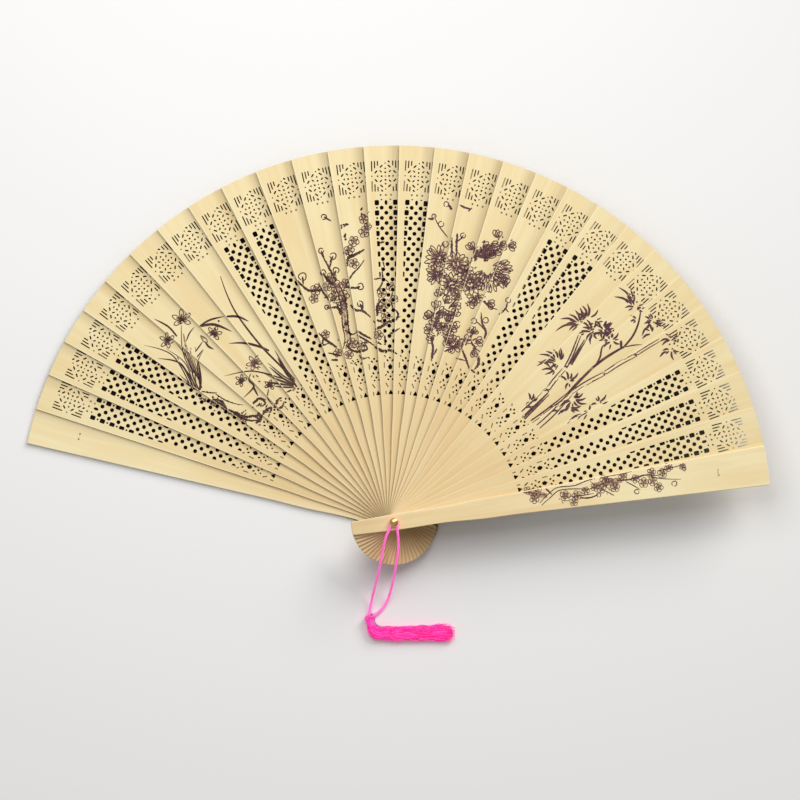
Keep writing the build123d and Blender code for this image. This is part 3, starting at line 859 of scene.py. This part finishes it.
def draw_orchids(ink):
    """The left group: two clumps of arching blades with flowers, on a broken bank."""
    root = (-96, 57)
    for tip, middle, width in (
            ((-124, 77.6), (-110, 73.2), 0.5), ((-117, 71.6), (-106, 69.5), 0.8),
            ((-113.5, 76.5), (-104, 70), 0.4), ((-107, 70), (-102, 65), 0.6),
            ((-106.5, 64.5), (-101.5, 60.5), 0.45), ((-97.6, 71), (-96.2, 63), 1.0),
            ((-99, 66), (-98.4, 61), 0.7), ((-95.6, 76.5), (-98, 70), 0.5)):
        foot = (root[0] + 0.14 * (tip[0] - root[0]), root[1] + 0.04 * (tip[1] - root[1]))
        ink.stroke([foot, middle, tip], width, start=0.7, end=0.12)
    ink.stroke([(-96.8, 58), (-99.5, 63), (-101, 68), (-104.5, 74.5), (-109, 79.5)], 0.6)
    ink.stroke([(-101, 66), (-105.5, 76), (-106.8, 88)], 0.4, start=0.9, end=0.5)
    ink.stroke([(-98.6, 73), (-95.6, 77.2)], 0.5)
    ink.stroke([(-99.4, 75.6), (-96.4, 80.4), (-95.8, 81.2)], 0.55)
    ink.stroke([(-104, 80.6), (-102.6, 84.6), (-100.4, 87.6)], 0.55)
    ink.stroke([(-108.6, 82.6), (-113, 87), (-120, 90.4)], 0.75, start=0.8)
    ink.stroke([(-98, 88.2), (-93, 91.4), (-86.4, 93.4)], 0.8)
    ink.stroke([(-98, 88), (-91, 89.2), (-82.6, 86.4)], 1.1, start=0.8)
    ink.stroke([(-85.4, 93.4), (-80, 93.6), (-74.6, 91.6)], 0.95, start=0.7)
    ink.orchid(-106.6, 90.4, 5.4, 8)
    ink.orchid(-112.6, 80.2, 4.4, 70)
    ink.orchid(-91, 84.6, 4.2, -20)
    ink.loop(-97.4, 83.6, 4.6, 1.6, -42)
    ink.stroke([(-95, 80.8), (-93.2, 78.6), (-90.6, 77.4)], 0.85)
    ink.dab(-89, 91, 1.0, 20, 0.9)
    ink.scatter(-104, 75, 2.0, 7, 1.6, 120, 0.35)

    base = (-50, 61.6)
    ink.stroke([base, (-56, 69), (-68.5, 80.6), (-80, 94), (-85.6, 103.5), (-89.4, 112.4)], 0.75,
               start=1.0, end=0.35)
    for tip, middle, width in (
            ((-61.5, 78.6), (-55.6, 69.6), 0.7), ((-60, 75), (-55, 67.4), 0.9),
            ((-64.6, 72.4), (-57, 66.8), 0.55), ((-63.6, 70.4), (-56.4, 65.2), 0.8),
            ((-66, 67.2), (-57.4, 63.8), 0.5), ((-66, 63.4), (-57.6, 62.6), 0.8),
            ((-61, 61.4), (-55, 61.2), 0.7), ((-84.8, 65), (-71, 68), 0.6),
            ((-61.6, 65.6), (-56, 63.8), 0.6), ((-55.6, 58.4), (-52.6, 60), 0.7)):
        foot = (base[0] + 0.2 * (middle[0] - base[0]), base[1] + 0.45 * (middle[1] - base[1]))
        ink.stroke([foot, middle, tip], width, start=0.6, end=0.12)
    ink.stroke([(-64.2, 78.2), (-70, 80.2), (-77, 81.2), (-83.6, 80.6)], 1.0, start=0.7)
    ink.orchid(-70.6, 71.6, 4.4, 40)
    ink.orchid(-76.4, 63, 3.4, 60)
    ink.orchid(-63, 61.4, 3.0, -10)
    ink.stroke([(-72.4, 66.8), (-73, 63.6), (-70.6, 60.6), (-75.2, 55)], 0.75)
    ink.stroke([(-71, 60.8), (-68.2, 56.2)], 0.8)
    ink.stroke([(-63.4, 60), (-63.6, 55.6), (-60.6, 52)], 0.55)
    ink.scatter(-70, 67, 1.8, 8, 1.5, 150, 0.5)

    for number in range(5):
        lean = number * 1.1
        ink.stroke([(-95.4 - 0.3 * lean, 58.5 + lean), (-97.6 - 0.9 * lean, 66 + 0.6 * lean),
                    (-100 - 1.2 * lean, 72 + 1.4 * lean)], 0.4, start=0.9, end=0.3, rough=0.2)
    ink.wash([(-97, 62), (-99.4, 68), (-103, 75), (-105.6, 84)], 1.2)
    ink.strokes(0.7, 0.3, 0.35, (
        (0.6, -95.4, 57, -90.6, 56.6, -88, 56.8), (0.5, -88.6, 56.2, -84, 53.6, -79, 52, -75, 51.6),
        (1.3, -98, 56, -95, 53.2, -91, 52.2, -86, 51.6, -82.4, 48.2),
        (1.3, -82.4, 48.8, -78, 47.4, -74, 46, -69.4, 46.6, -66.4, 43.8),
        (0.8, -92, 54, -89.4, 50.4, -86.8, 53.6), (0.9, -84, 50.6, -81.6, 46.6),
        (0.9, -90, 53.6, -85.6, 52.8, -83, 50), (0.9, -82, 47.6, -77, 45.8, -72, 44.4, -67.6, 44.8),
        (0.6, -80, 48, -76, 45, -73, 42.6), (1.0, -70.6, 52.6, -67.4, 55.2, -64.6, 53.2, -66.8, 51.2),
        (1.1, -60.2, 51, -58.6, 55, -56.8, 56.2), (1.0, -58.4, 50.4, -56.2, 52.2, -55.8, 54.4),
        (1.0, -66, 47, -63.6, 50.2, -61.6, 50.8, -62.8, 46.4),
        (1.2, -68.6, 43.2, -66, 46.4, -69.4, 47)))
    ink.scatter(-86, 50.6, 2.6, 16, 1.2, -20, 0.7)
    ink.scatter(-74, 45.4, 2.4, 16, 1.3, 60, 0.5)
    ink.scatter(-66, 50, 2.6, 18, 1.5, 40, 0.7)


def draw_plum(ink):
    """The second group: an old plum tree with knotted branches and open blossoms."""
    trunk = [(-34, 112), (-31, 106), (-29.4, 99), (-28.4, 92), (-27, 86), (-27.6, 81)]
    ink.wash(trunk, 1.3)
    for shift, width in ((-1.3, 0.5), (1.3, 0.7)):
        ink.stroke([(x + shift, y) for x, y in trunk], width, start=0.8, end=0.6, rough=0.4)
    ink.scatter(-28.4, 93, 0.5, 10, 1.4, 100, 0.5)
    ink.scatter(-29.4, 103, 0.7, 9, 1.5, 110, 0.5)
    ink.strokes(0.7, 0.35, 0.25, (
        (0.8, -34, 113, -38, 119.6, -42, 126), (0.6, -37.6, 119.4, -36.6, 123.2),
        (1.2, -35, 111, -39, 114.6, -41.6, 116.4),
        (0.9, -41, 108.6, -46, 107.8, -50, 110, -53.6, 113.4), (0.8, -36, 103, -40, 107.6, -42.4, 112),
        (0.7, -30.4, 109, -28.8, 112.4, -26.6, 116.6, -23.4, 120.4, -21.2, 124),
        (1.3, -29.4, 120.4, -28.8, 124.4, -25, 126.6, -21.4, 129),
        (0.8, -30, 110.6, -26.6, 110.4, -22.8, 110.4),
        (0.9, -26.6, 102.2, -24, 99.8, -20.6, 99.6, -16.6, 96.8), (0.6, -20.6, 99.6, -20.8, 104),
        (1.0, -30, 98, -32.8, 100.6, -36.4, 100), (0.6, -31, 97, -33.4, 103),
        (1.0, -32, 81.6, -37, 84.6, -41, 88), (0.7, -38.6, 86, -38.8, 82.4, -36, 83.4),
        (0.7, -30, 77.6, -33, 78.2, -36, 78.8), (0.8, -31, 75.6, -34.4, 75.4),
        (0.7, -28.6, 90, -25, 88.2, -22.6, 89.6), (0.9, -23, 90, -19, 88, -15.6, 86.4),
        (0.7, -22.6, 88, -18, 85.6, -14, 83.4),
        (0.9, -27.6, 83, -24.6, 80.6, -21, 80.2, -17.4, 81.6, -19, 84.4),
        (0.6, -21, 78.6, -19.6, 76.8, -17, 77.6), (1.1, -14, 83, -10, 81, -6.6, 81.6, -3, 80),
        (0.7, -13.4, 85.6, -10.6, 84), (0.9, -9, 84, -9.4, 88.6),
        (0.8, -8, 88.6, -5, 90.6, -2.4, 92.4),
        (1.2, -14.2, 91, -11, 92.8, -8.6, 94.6, -5.4, 95.8, -3.6, 98.6, -5.4, 101.6),
        (0.9, -13.6, 95.6, -10.4, 94.8, -7.6, 92.4), (0.9, -13.4, 98, -13.8, 102.4, -11.6, 106),
        (0.6, -6, 101, -7.4, 105.6, -6.6, 110),
        (0.7, -14.4, 109.6, -12.4, 112.4, -12, 116.4, -12.8, 121),
        (0.6, -16, 115, -12, 115.6, -9, 114), (0.5, -11.4, 121, -12.8, 125.6),
        (0.8, -15, 132.2, -12, 133.2)))
    for blossom in (
            (-33.6, 110.6, 3.0, 20), (-36.4, 114.4, 2.6, 50), (-43.4, 108.6, 2.6, 10),
            (-44.2, 104.2, 2.2, 40), (-26, 122, 2.3, 70), (-30, 106.4, 2.6, 0), (-34.6, 106, 2.5, 35),
            (-24.6, 84, 2.4, 15), (-22, 137.2, 2.6, 30), (-26.6, 132.6, 2.5, 60),
            (-28.6, 128.2, 2.4, 10), (-10.4, 103.4, 2.6, 45), (-12.4, 88.6, 2.2, 5),
            (-8, 112, 2.1, 65), (-22.6, 143.4, 2.2, 20), (-37.6, 87.6, 1.9, 30), (-30.4, 102, 2.2, 12),
            (-38, 110.4, 2.3, 25), (-29.6, 112.4, 2.1, 48), (-20.6, 83, 2.3, 30), (-26, 78.4, 2.1, 8),
            (-31.4, 79, 2.0, 40), (-12, 108.6, 2.2, 20), (-6, 106, 2.0, 50), (-9.4, 97.4, 2.3, 15),
            (-12.6, 101, 1.8, 60), (-20.4, 140, 1.8, 5)):
        ink.plum_blossom(*blossom)
    for bud in (
            (-42, 127.2, 1.2, (-40.4, 124)), (-36.2, 125, 1.5, (-37.6, 121.8)),
            (-50.2, 114.4, 1.8, (-49.6, 110.6)), (-22.4, 111.2, 1.5, (-24.6, 110.4)),
            (-22, 103, 1.3, (-20.8, 100)), (-34.4, 118.2, 1.4, (-35.4, 115)),
            (-40.4, 116.8, 1.3, (-38.8, 114)), (-41.6, 143.4, 1.2, (-38, 141.6)),
            (-37.8, 100.4, 1.0, (-36, 100))):
        ink.bud(*bud)
    ink.scatter(-31.6, 139.6, 0.9, 5, 1.6, 30, 0.8)
    ink.scatter(-30.8, 134.6, 0.8, 4, 1.5, 60, 0.7)
    ink.scatter(-22.4, 146, 1.0, 5, 1.6, 100, 0.7)
    ink.scatter(-29.6, 127.6, 0.8, 4, 1.4, 100, 0.7)
    ink.scatter(-34, 104, 2.4, 16, 1.5, None, 0.5)
    ink.scatter(-25, 82, 3.2, 12, 1.5, None, 0.5)
    ink.scatter(-10, 98, 3.2, 14, 1.4, None, 0.5)


def draw_chrysanthemums(ink):
    """The third group: full blooms over broad leaves, on short stems."""
    for bloom in (
            (14.6, 126.4, 1.2, 7.4, 9, 80, 175, 9), (14.6, 126.4, 1.2, 4.6, 6, -100, 180, 4),
            (14, 119, 0.8, 6.0, 8, 110, 160, 6), (14.4, 119, 0.8, 4.4, 6, -90, 180, 5),
            (22.6, 124.6, 1.5, 6.2, 13, 0, 360, 22), (21.1, 114.2, 1.4, 6.0, 13, 10, 360, 22),
            (30, 115.4, 1.4, 5.8, 13, 5, 360, 22), (37.9, 123.4, 3.0, 7.4, 15, -150, 190, 0),
            (37.9, 123.4, 6.4, 11.6, 17, -128, 165, 0), (36.5, 127.5, 0.6, 6.2, 9, 20, 150, 14),
            (27.4, 120.4, 0.7, 4.4, 9, 0, 360, 9), (33, 109.6, 0.8, 4.4, 7, 190, 200, 8)):
        ink.chrysanthemum(*bloom)
    ink.scatter(38.6, 130.6, 1.9, 20, 2.0, 20, 0.7)
    ink.scatter(31, 127, 1.4, 12, 1.8, 60, 0.7)
    ink.scatter(44.6, 119, 1.8, 18, 1.8, 10, 0.5)
    for x, y, turn in (
            (31.6, 128.4, 60), (34.8, 133, 15), (38.6, 134.2, 0), (42.6, 134, 10), (47, 134.6, -8),
            (41.1, 138, 80), (45.8, 116, 70), (30, 131.6, 120), (35.6, 130, 40), (40.2, 131, 20)):
        for part in (-30, 0, 30):
            ink.loop(x, y, 3.8, 1.9, turn + part, 0.42)
        ink.scatter(x + 1.2, y + 0.5, 0.9, 5, 1.5, turn, 0.6)
    ink.chrysanthemum(24, 86.4, 1.0, 4.8, 11, 0, 360, 14)
    ink.chrysanthemum(32, 91.6, 0.5, 3.6, 6, 20, 140, 10)
    for x, y, turn in (
            (14.6, 103, 100), (18.4, 105.6, 60), (22.6, 104.4, 20), (12, 98.4, 150), (15.6, 97.6, 95),
            (19.2, 97, 50), (12.6, 92.4, 170), (17.4, 92.6, 40), (21.6, 94, 5), (14, 88.6, 190),
            (28.6, 88, 30), (34, 87.8, 10), (30, 106.6, -20), (38.6, 106.4, -10), (33, 84, -60),
            (25, 108.6, 150), (16.4, 109, 130), (19.6, 88.6, -60), (17.6, 95, 200), (16, 100.6, 30),
            (19.6, 100.4, -30), (14.4, 95, 120), (20, 90.4, 20), (22.8, 99.6, 60)):
        for part in (-34, 0, 34):
            ink.loop(x, y, 3.6, 1.9, turn + part, 0.42)
        ink.scatter(x, y, 1.0, 5, 1.4, turn, 0.6)
    ink.scatter(16, 94, 2.8, 26, 1.5, None, 0.6)
    ink.scatter(20, 118, 3.4, 16, 1.5, None, 0.5)
    ink.strokes(0.6, 0.3, 0.25, (
        (1.1, 13.6, 78.4, 13.8, 84, 12.6, 89), (0.7, 15.8, 83.6, 14.4, 80.4),
        (0.9, 19.4, 82.4, 23, 84.2, 25.6, 85.4), (0.8, 20.6, 90.6, 21.4, 86.4, 23.4, 83.6),
        (0.9, 31.6, 75, 29.8, 79.4, 27.6, 84.8, 28.4, 89), (1.3, 35.4, 82, 36, 77.6, 34, 74.6),
        (1.0, 32.6, 74.6, 34.6, 73), (0.6, 25, 79.6, 29.8, 78.6), (0.9, 31.8, 87.6, 34.6, 84.4),
        (1.0, 38, 89.6, 38.6, 93, 36.6, 97, 35.8, 102), (0.6, 38.6, 93, 36.4, 95.4, 33.8, 97.6),
        (0.9, 44.4, 101.4, 47.4, 104.6, 48, 108), (0.7, 47.2, 104.4, 49, 102.8),
        (0.7, 36.4, 107.4, 40, 104.8, 43.6, 103.8), (1.0, 19.8, 137, 20.2, 131, 20.8, 127.6),
        (1.0, 22.4, 139, 22.4, 133, 22.8, 128), (0.7, 22.6, 135.2, 24.4, 136.8, 25.4, 138.4),
        (0.5, 18, 136.8, 14, 141.4, 11.2, 146, 10.8, 147.6), (1.0, 10.8, 145.2, 8, 145.2),
        (1.0, 19.2, 150.2, 17.2, 152.6), (0.8, 22.8, 152.6, 25.6, 151.4, 28.6, 151),
        (0.7, 27, 149.8, 28.8, 151.6), (0.8, 22.4, 107, 25, 111), (0.8, 20.2, 103, 24, 108),
        (0.7, 22.8, 98, 23.6, 103)))
    for bud in (
            (14.4, 143, 1.3), (10.8, 146.6, 1.0), (16.4, 152.6, 1.2), (25.2, 138.2, 1.2),
            (32.6, 97.8, 1.3), (38.2, 98.4, 1.3), (33, 131.8, 1.5), (11, 99.6, 1.8), (24.6, 95.6, 1.6),
            (48.4, 108.6, 1.2), (17, 133.6, 1.4)):
        ink.bud(*bud)


def draw_bamboo(ink):
    """The fourth group: slanting stems with tufts of narrow leaves."""
    ink.stalk([(58.4, 55.2), (64, 61), (69.4, 67)], 2.2, 0.6, (0.3, 0.98))
    ink.stalk([(59, 52.6), (64.6, 59), (70, 65)], 0.8, 0.6)
    ink.stalk([(69.6, 67.2), (72.4, 71.6), (76.6, 77)], 1.6, 0.5)
    ink.stalk([(77.4, 78), (80.2, 84.4), (83.2, 93.6)], 1.2, 0.6, (0.05,))
    ink.stalk([(79.8, 79.6), (82.8, 85.6), (86, 91.6)], 0.8, 0.7)
    ink.stalk([(62.6, 51.4), (70, 57.4), (79, 65.4)], 1.0, 0.6, (0.55,))
    ink.stalk([(79, 65.4), (84, 71.6), (90.4, 78.8)], 0.6, 0.6)
    ink.stroke([(90.4, 78.8), (96, 83.6), (102.6, 88.2), (104.8, 89.4)], 1.0, start=0.9, end=0.7)
    ink.stroke([(105, 89.4), (110, 90.6), (113.4, 90.8)], 0.5)
    ink.stroke([(104.8, 89.6), (108.6, 95), (110.8, 101), (111.6, 107)], 0.8, start=0.9, end=0.5)
    ink.stroke([(91, 79), (93.4, 83.6), (94.4, 89), (97.6, 91)], 0.7)
    ink.stalk([(66, 49.2), (73, 56.4), (80.6, 66)], 2.0, 0.5, (0.5,))
    ink.stalk([(80.6, 66), (88, 71.4), (96, 76.2)], 1.6, 0.5, (0.98,))
    ink.stalk([(96.4, 76.6), (103, 81.4), (110.6, 86)], 1.5, 0.45, (0.98,))
    ink.stalk([(111, 86.4), (116, 90), (121.4, 93.6)], 1.2, 0.4)
    ink.stroke([(103, 92.4), (103.4, 88)], 1.0)
    for x, y, *tips in (
            (83.4, 99.6, 71.6, 95, 73.6, 101, 77.6, 103.4, 80.4, 105.6, 75.6, 98, 78, 95.6, 85.6,
             104.8, 82.8, 107),
            (87, 101.4, 83.6, 108, 86, 109, 91.4, 106.6, 81, 104),
            (89.4, 96, 82.6, 94.4, 84.4, 97.6, 86.4, 91.4, 88.6, 89.6, 83, 100.4, 91.6, 92.4, 86,
             101.4, 90.4, 101),
            (93.8, 98, 90, 101, 95.6, 101.4, 98.6, 100.6, 97.6, 95, 94, 92.6, 99.4, 98),
            (98.6, 92, 92.6, 96, 97.4, 97.4, 101.6, 96, 92.4, 91.6, 95, 88.4, 102.6, 90.6),
            (95.4, 96.4, 89.6, 93.6, 91, 98.8, 97.6, 101, 99.6, 94.8, 95, 91.4),
            (74.4, 80.6, 63.6, 78, 66, 80.4, 64.4, 83.6, 67.6, 85.4, 71, 86.4, 74.4, 87.4, 76, 84.8,
             70, 76.4),
            (73, 76.6, 64, 80, 66, 76.2, 69.6, 74.4, 71, 80),
            (79.2, 71.4, 74.4, 73.8, 77.4, 76.6, 80.4, 75.6, 83.6, 76, 78, 67.6, 82, 73.6),
            (109, 108.8, 98.6, 113, 100.4, 117.6, 101.6, 112.4, 104.6, 114.4, 106.2, 116.4, 104, 108,
             112.6, 106.6, 113.6, 108.6),
            (110.4, 102.6, 106.8, 104.4, 107, 101.6),
            (117.6, 101.8, 112.8, 95, 113.6, 101, 113.6, 104.4, 116, 106, 122.8, 102, 124.6, 100.6,
             114.6, 98),
            (118, 97, 113, 93.6, 116.4, 99.8, 115, 101.6),
            (127, 94.4, 121.6, 93, 124, 96.6, 129.6, 98, 122.6, 91, 130.6, 93.6),
            (127, 89.6, 121.8, 85.4, 123, 88.6, 128.6, 84.4, 131, 88.6),
            (81.4, 62.8, 86.4, 66.4, 88, 64.2, 84.8, 60, 76, 61.4, 75.4, 59, 78.6, 57, 88.4, 61.4,
             83.6, 67),
            (79.6, 58.8, 75, 55.2, 84.6, 58.4, 86, 60.4, 76.6, 56.2),
            (89.6, 58, 79.6, 51.2, 84.4, 53.6, 87.2, 56.4, 89.8, 61),
            (94, 62, 97.4, 66.4, 98.4, 63, 93.4, 65.4, 90.4, 60.8),
            (61.6, 61, 60.4, 65, 63, 64.8, 65, 62.6, 59.6, 59)):
        ink.blades(x, y, pairs(tips))
    ink.scatter(88.6, 97, 2.8, 14, 1.8, 20, 0.6)
    ink.scatter(96, 95.6, 2.0, 12, 1.8, 60, 0.6)


def draw_guard_twig(ink):
    """The twig on the front guard: an outlined branch with plum blossoms along it."""
    ink.strokes(0.7, 0.4, 0.2, (
        (0.5, 69.6, 12, 73.6, 16, 77.4, 19.4, 84, 20.6, 91.6, 21, 96.6, 22.8),
        (0.5, 68.6, 13, 72.4, 17.4, 76.6, 20.8, 84.6, 22.2, 90.8, 25, 98, 27, 105, 28.6, 112, 30.6),
        (0.4, 92, 24.6, 96, 23, 103.6, 26.4), (0.8, 104.6, 25.8, 111, 26.6, 117.6, 29, 124, 29.2),
        (0.5, 123.6, 31.4, 130, 33.2, 137, 35.4), (0.4, 119, 28.4, 127, 27.8, 135, 28),
        (0.8, 87.6, 16.6, 92, 16.8, 96.4, 18.6), (0.5, 82.4, 17, 87, 17.4, 94, 19),
        (0.4, 60.4, 17.6, 66, 17.4, 72, 17), (0.8, 71, 20, 74.2, 17.4),
        (0.5, 98, 21, 101.4, 19.6, 103.8, 18.4), (0.5, 109, 25.4, 113, 23.6, 116, 22),
        (0.5, 103, 28, 107, 29.6, 109.4, 29)))
    ink.wash([(63, 17.6), (68, 17), (72, 16.6)], 3.0)
    ink.wash([(94, 22), (100, 24.4), (107, 26)], 3.4)
    for blossom in (
            (62.4, 18.6, 1.8, 0), (66.6, 18.4, 2.5, 30), (66, 14.8, 2.2, 60), (80.6, 17, 2.5, 15),
            (86, 17.6, 2.3, 40), (97.4, 21.6, 2.3, 10), (100.8, 24.4, 2.5, 55), (104, 22.4, 2.2, 25),
            (98.6, 26, 2.1, 45), (94.4, 22, 2.0, 5), (107.4, 27.6, 2.0, 35), (117.4, 25.4, 2.4, 20),
            (121.6, 26.4, 2.3, 50), (124.6, 23.6, 2.2, 0), (126, 30.4, 2.3, 30),
            (128.8, 33.4, 2.0, 60), (120.8, 30.6, 2.0, 10), (90, 20, 1.9, 70), (84.8, 14.4, 2.0, 25),
            (135.4, 34, 1.5, 5), (113.4, 27, 2.0, 45)):
        ink.plum_blossom(*blossom)
    for bud in ((114.4, 21, 1.1), (132, 25.8, 1.2), (96.4, 18.4, 1.0), (136.2, 33, 0.9)):
        ink.bud(*bud)
    ink.scatter(80, 17.4, 2.0, 8, 1.2, None, 0.35)
    ink.scatter(101, 23, 3.0, 12, 1.2, None, 0.35)


def top_stick(x, y):
    """Place of the stick that lies on top at a point of the open fan's blades, or None."""
    reach, angle = math.hypot(x, y), math.atan2(y, x)
    if not BLADE_START < reach < RIM:
        return None
    for place in reversed(range(len(STICKS))):
        turn = angle - stick_direction(place)
        if math.cos(turn) > 0 and abs(reach * math.sin(turn)) <= blade_half(place, reach * math.cos(turn)):
            return place
    return None


def lay_ink(material):
    """Cuts the print at the sticks' edges and piercings and lays each stick's share on its face."""
    ink = Print(seed=5)
    for motif, weight in ((draw_orchids, 1.18), (draw_plum, 1.25), (draw_chrysanthemums, 1.1),
                          (draw_bamboo, 1.25), (draw_guard_twig, 0.95)):
        ink.weight = weight
        motif(ink)
    graph = bpy.context.evaluated_depsgraph_get()
    trees, tops, wood = {}, {}, {}

    def stick_under(point):
        """Place of the stick whose flat face is at a point, or None at an edge or a piercing."""
        key = (round(point.x, 3), round(point.y, 3))
        if key not in wood:
            x, y = point.x * MM, point.y * MM
            place = top_stick(x, y)
            if place is not None and place not in trees:
                trees[place] = BVHTree.FromObject(frame["nodes"][STICKS[place]], graph)
                tops[place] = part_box(STICKS[place])[1].z
            above = (x, y, 0 if place is None else tops[place] + PROBE_START)
            hit = place is not None and trees[place].ray_cast(above, (0, 0, -1), PROBE_REACH)[0]
            wood[key] = place if hit else None
        return wood[key]

    shares = {}
    for cell, wash, layer in ink.cells:
        place = stick_under((cell[0] + cell[2]) / 2)
        if place is None or any(stick_under(corner) != place for corner in cell):
            continue
        points, faces = shares.setdefault(place, ({}, []))
        keys = [(round(corner.x, 3), round(corner.y, 3), wash, layer) for corner in cell]
        face = [points.setdefault(key, len(points)) for key in keys]
        if len(set(face)) == 4:
            faces.append(face)
    for place in sorted(shares):
        points, faces = shares[place]
        spots = [(x * MM, y * MM,
                  tops[place] + INK_LIFT + INK_LAYER * (layer + (0 if wash else INK_LAYERS)))
                 for x, y, wash, layer in points]
        piece = mesh_object(f"ink_on_{STICKS[place]}", spots, faces, material)
        thin = piece.data.attributes.new("wash", "FLOAT", "POINT")
        thin.data.foreach_set("value", [float(wash) for _, _, wash, _ in points])
        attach(piece, STICKS[place] + "_body")


# --- binding thread ---------------------------------------------------------------------------

TIE_ROW = 156 * MM
TIE_OFFSET = 1.25 * MM
THREAD_RADIUS = 0.2 * MM
# rise, flatness and radius of the front guard's stitch and of the back guard's
STITCH_FRONT, STITCH_BACK = (0.2 * MM, 1.0, THREAD_RADIUS), (0.02 * MM, 0.15, 0.12 * MM)
STRIP_START, STRIP_END = -0.9, 0.65  # of the blade's half width
STRIP_DROP = 0.045 * MM  # below the leaf's rear face
STRIP_FLAT = 0.15  # thickness over width
STRIP_STEPS = 24


def make_binding(material):
    """The thread behind the leaves' tie holes, and the stitch that ends it on each guard. The back
    guard's stitch is pressed flat, because the first leaf slides over it."""
    last = len(STICKS) - 1
    for place, name in enumerate(STICKS):
        low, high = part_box(name)
        turn = stick_direction(place)
        along = Vector((math.cos(turn), math.sin(turn), 0))
        across = Vector((-along.y, along.x, 0))
        thread = Strands()
        if place in (0, last):
            rise, flat, radius = STITCH_FRONT if place else STITCH_BACK
            stitch = [(-1, -0.6 * MM), (-1, -0.1 * MM), (-0.7, 0.8 * rise), (0, rise),
                      (0.7, 0.8 * rise), (1, -0.1 * MM), (1, -0.6 * MM)]
            line = [along * TIE_ROW + across * v * TIE_OFFSET + Vector((0, 0, high.z + up))
                    for v, up in stitch]
            thread.add(even_path(line, 0.15 * MM), radius, sides=8, flat=flat)
        else:
            half = blade_half(place, TIE_ROW)
            start, end = STRIP_START * half, STRIP_END * half
            line = [along * TIE_ROW + across * (start + (end - start) * number / STRIP_STEPS)
                    + Vector((0, 0, low.z - STRIP_DROP)) for number in range(STRIP_STEPS + 1)]
            thread.add(line, THREAD_RADIUS, sides=8, flat=STRIP_FLAT)
        piece = thread.make(f"binding_on_{name}", material)
        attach(piece, name + "_body")


# --- building it ----------------------------------------------------------------------------

make_camera()
# the last number is each silk's painted glow
cord_silk = silk_material("tassel_cord", linear(255, 118, 206), linear(250, 62, 160), 1.6, 0.38)
knot_silk = silk_material("tassel_knot_cord", linear(250, 66, 172), linear(238, 8, 118), 1.6, 0.30)
floss_silk = silk_material("tassel_silk", linear(250, 84, 200), linear(244, 10, 130), 0.5, 0.36)
make_cord("tassel_cord_left_silk", LEFT_ROUTE, "tassel_cord_left", cord_silk)
make_cord("tassel_cord_right_silk", RIGHT_ROUTE, "tassel_cord_right", cord_silk)
make_cord_loop(cord_silk)
make_knot(knot_silk)
make_wrap(floss_silk)
make_skirt(floss_silk)
make_stage()


def dress(name, material):
    """Gives a CAD object its only material."""
    slots = frame["nodes"][name].data.materials
    slots.clear()
    slots.append(material)


for place, name in enumerate(STICKS[:-1]):
    light, dark = (LEAF_LIGHT, LEAF_DARK) if place else (GUARD_LIGHT, GUARD_DARK)
    dress(name, wood_material(place, light, dark, TAIL_SHADE_SHARE))
dress(STICKS[-1], wood_material(len(STICKS) - 1, GUARD_LIGHT, GUARD_DARK, TAIL_SHADE_FRONT))
brass = brass_material()
for name in ("rivet_pin", "rivet_washer", "rivet_dome"):
    dress(name, brass)
lay_ink(ink_material())
make_binding(thread_material())
